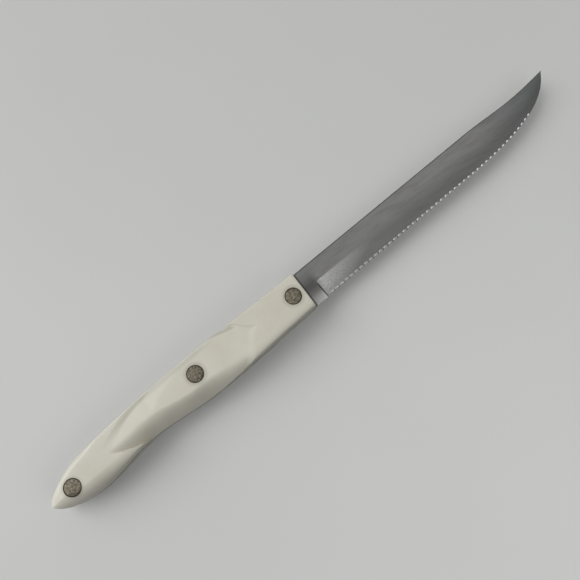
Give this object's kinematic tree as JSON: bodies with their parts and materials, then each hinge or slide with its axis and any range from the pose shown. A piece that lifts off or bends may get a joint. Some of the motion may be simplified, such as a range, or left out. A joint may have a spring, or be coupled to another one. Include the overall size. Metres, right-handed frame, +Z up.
{
  "type": "kitchen utility knife",
  "caption": "Slim serrated utility knife: a full-tang steel blade with an upswept point, riveted between carved cream resin handle scales.",
  "frame": {"origin": "on the surface the knife lies on, under the middle of its box", "axes": "+X along the knife towards the point, +Y towards the spine, +Z up, square to the blade's flat side"},
  "size_m": [0.2532, 0.0176, 0.0134],
  "materials": {
    "blade_steel": "satin ground stainless steel, fine scratches along the blade",
    "handle_resin": "moulded cream resin, polished and slightly worn",
    "rivet_metal": "tarnished nickel silver, speckled"
  },
  "bodies": {
    "root": {"blade": "blade_steel", "upper_scale": "handle_resin", "lower_scale": "handle_resin", "front_rivet_male": "rivet_metal", "front_rivet_female": "rivet_metal", "middle_rivet_male": "rivet_metal", "middle_rivet_female": "rivet_metal", "butt_rivet_male": "rivet_metal", "butt_rivet_female": "rivet_metal"}
  },
  "joints": []
}
